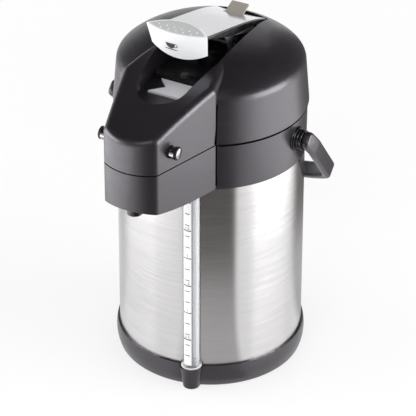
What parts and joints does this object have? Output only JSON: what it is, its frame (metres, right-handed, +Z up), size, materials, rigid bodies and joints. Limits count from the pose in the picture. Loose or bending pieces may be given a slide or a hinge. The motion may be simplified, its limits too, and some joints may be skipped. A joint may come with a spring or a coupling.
{
  "type": "lever-action vacuum carafe",
  "caption": "Tall vacuum carafe with a steel body, sight tube, spout beak, flip lid on a rear hinge, press-down lever pump and a swinging bail handle.",
  "frame": {"origin": "centre of the flat resting plane, on the axis of the round body", "axes": "+Z up, -Y out of the spout beak, +X to the side of the spout that carries the sight tube"},
  "size_m": [0.2024, 0.25, 0.3446],
  "materials": {
    "black_plastic": "fine satin, charcoal black",
    "gloss_black": "glossy black",
    "brushed_steel": "brushed round the body",
    "polished_steel": "polished",
    "plain_steel": "plain",
    "white_plastic": "smooth",
    "grey_plastic": "fine",
    "light_grey": "fine",
    "clear_tube": "clear",
    "silicone": "soft",
    "black_rubber": "soft",
    "spring_steel": "drawn"
  },
  "bodies": {
    "body": {"base_ring": "black_plastic", "base_plate": "black_plastic", "feet": "black_rubber", "base_screws": "plain_steel", "outer_shell": "brushed_steel", "shell_shoulder": "brushed_steel", "jacket_bottom": "brushed_steel", "liner": "brushed_steel", "liner_neck": "brushed_steel", "outlet_elbow": "black_rubber", "sight_tube": "clear_tube", "scale_strip": "white_plastic", "lower_seal": "silicone", "upper_seal": "silicone", "spout_pipe": "silicone", "nozzle": "gloss_black", "collar": "black_plastic", "mouth_ring": "black_plastic", "mouth_gasket": "silicone", "pivot_stud_left": "gloss_black", "pivot_stud_right": "gloss_black", "hinge_pin": "plain_steel"},
    "lid": {"lid_shell": "black_plastic", "lid_base": "black_plastic", "lid_screws": "plain_steel", "lid_seal": "silicone", "air_valve": "silicone", "strip_plate": "light_grey", "stop_bar": "gloss_black", "bumper": "black_rubber", "lever_axle": "plain_steel", "bellows": "black_rubber", "return_spring": "spring_steel", "button_spring_left": "spring_steel", "button_spring_right": "spring_steel"},
    "plunger": {"plunger": "gloss_black", "push_cap": "plain_steel"},
    "lever": {"lever": "polished_steel", "push_bracket": "plain_steel", "push_pin": "plain_steel", "grip": "white_plastic", "grip_inlay": "grey_plastic", "lock_pin": "plain_steel"},
    "lock_tab": {"lock_tab": "plain_steel"},
    "button_left": {"button_left": "gloss_black", "latch_left": "gloss_black"},
    "button_right": {"button_right": "gloss_black", "latch_right": "gloss_black"},
    "bail": {"bail": "black_plastic"}
  },
  "joints": [
    {"name": "lid_hinge", "type": "hinge", "parent": "body", "child": "lid", "pos_m": [0, 0.088, 0.249], "axis": [-1, 0, 0], "range_deg": [0, 95]},
    {"name": "lever_hinge", "type": "hinge", "parent": "lid", "child": "lever", "pos_m": [0, 0.049, 0.303], "axis": [1, 0, 0], "range_deg": [0, 10]},
    {"name": "plunger_slide", "type": "slide", "parent": "lid", "child": "plunger", "axis": [0, 0, -1], "range_m": [0, 0.0078], "stiffness_N_per_m": 400, "springref_m": -0.03, "deforming": ["bellows", "return_spring"]},
    {"name": "lock_tab_turn", "type": "hinge", "parent": "lever", "child": "lock_tab", "pos_m": [0, 0.038, 0.3106], "axis": [-1, 0, 0], "range_deg": [0, 20]},
    {"name": "button_left_slide", "type": "slide", "parent": "lid", "child": "button_left", "axis": [1, 0, 0], "range_m": [0, 0.003], "stiffness_N_per_m": 500, "springref_m": -0.002},
    {"name": "button_right_slide", "type": "slide", "parent": "lid", "child": "button_right", "axis": [-1, 0, 0], "range_m": [0, 0.003], "stiffness_N_per_m": 500, "springref_m": -0.002},
    {"name": "bail_swing", "type": "hinge", "parent": "body", "child": "bail", "pos_m": [0, 0, 0.231], "axis": [1, 0, 0], "range_deg": [0, 135]}
  ],
  "couplings": [
    {"joint": "plunger_slide", "follows": "lever_hinge", "m_per_rad": 0.0435}
  ]
}
